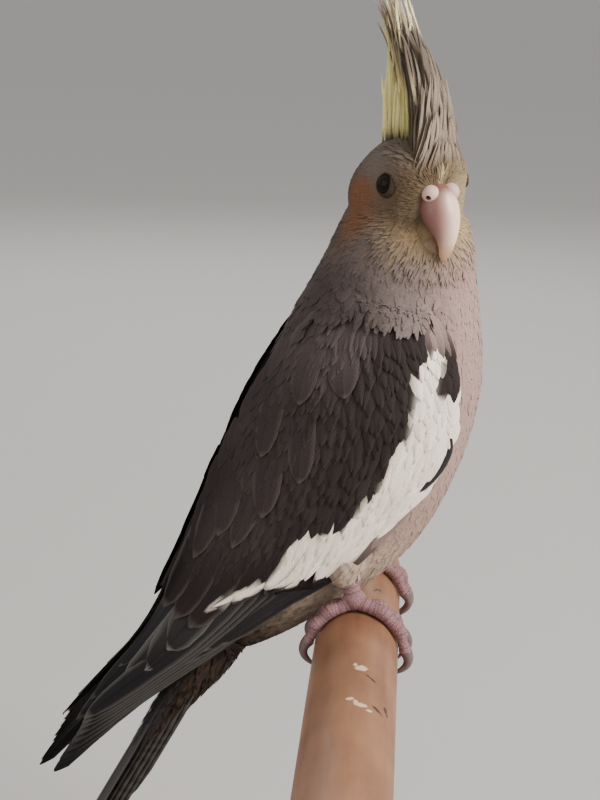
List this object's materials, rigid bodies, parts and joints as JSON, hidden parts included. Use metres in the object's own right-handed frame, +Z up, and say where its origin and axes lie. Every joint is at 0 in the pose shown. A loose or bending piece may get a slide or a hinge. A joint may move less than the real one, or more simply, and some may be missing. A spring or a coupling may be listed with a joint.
{
  "type": "cockatiel standing on a cut perch",
  "caption": "Life-size grey cockatiel with raised crest and folded wings, gripping a cut length of dowel on a plain two-rod display stand.",
  "frame": {"origin": "centre of the display base's underside, on the surface the model stands on", "axes": "+Z up; +Y along the dowel, away from the side the bird looks towards; +X roughly the way the bird's breast faces"},
  "size_m": [0.1527, 0.185, 0.3248],
  "materials": {
    "grey_plumage": "soft matt feathers, dark smoky grey",
    "flight_feathers": "smooth dark vanes with pale edges and a white shoulder patch",
    "face_plumage": "fine matt feathers, olive grey with a dull orange cheek and yellow wash",
    "bill_horn": "smooth satin horn, greyish pink",
    "cere_skin": "bare matt skin, pale pink",
    "eye_gloss": "wet, glossy, nearly black",
    "foot_skin": "scaly bare skin, greyish pink",
    "claw_horn": "smooth dark horn",
    "dowel_wood": "worn brown varnish with small chips",
    "base_wood": "dark stained satin wood",
    "rod_steel": "brushed"
  },
  "bodies": {
    "root": {"head": "face_plumage", "bill_upper": "bill_horn", "bill_lower": "bill_horn", "cere": "cere_skin", "eye_right": "eye_gloss", "eye_left": "eye_gloss", "neck": "grey_plumage", "torso": "grey_plumage", "wing_right": "flight_feathers", "wing_left": "flight_feathers", "tail": "flight_feathers", "leg_right": "grey_plumage", "leg_left": "grey_plumage", "foot_right": "foot_skin", "foot_left": "foot_skin", "claw_right_outer_front": "claw_horn", "claw_right_inner_front": "claw_horn", "claw_right_outer_back": "claw_horn", "claw_right_inner_back": "claw_horn", "claw_left_outer_front": "claw_horn", "claw_left_inner_front": "claw_horn", "claw_left_outer_back": "claw_horn", "claw_left_inner_back": "claw_horn", "perch": "dowel_wood", "stand_base": "base_wood", "stand_rod_front": "rod_steel", "stand_rod_back": "rod_steel"}
  },
  "joints": []
}
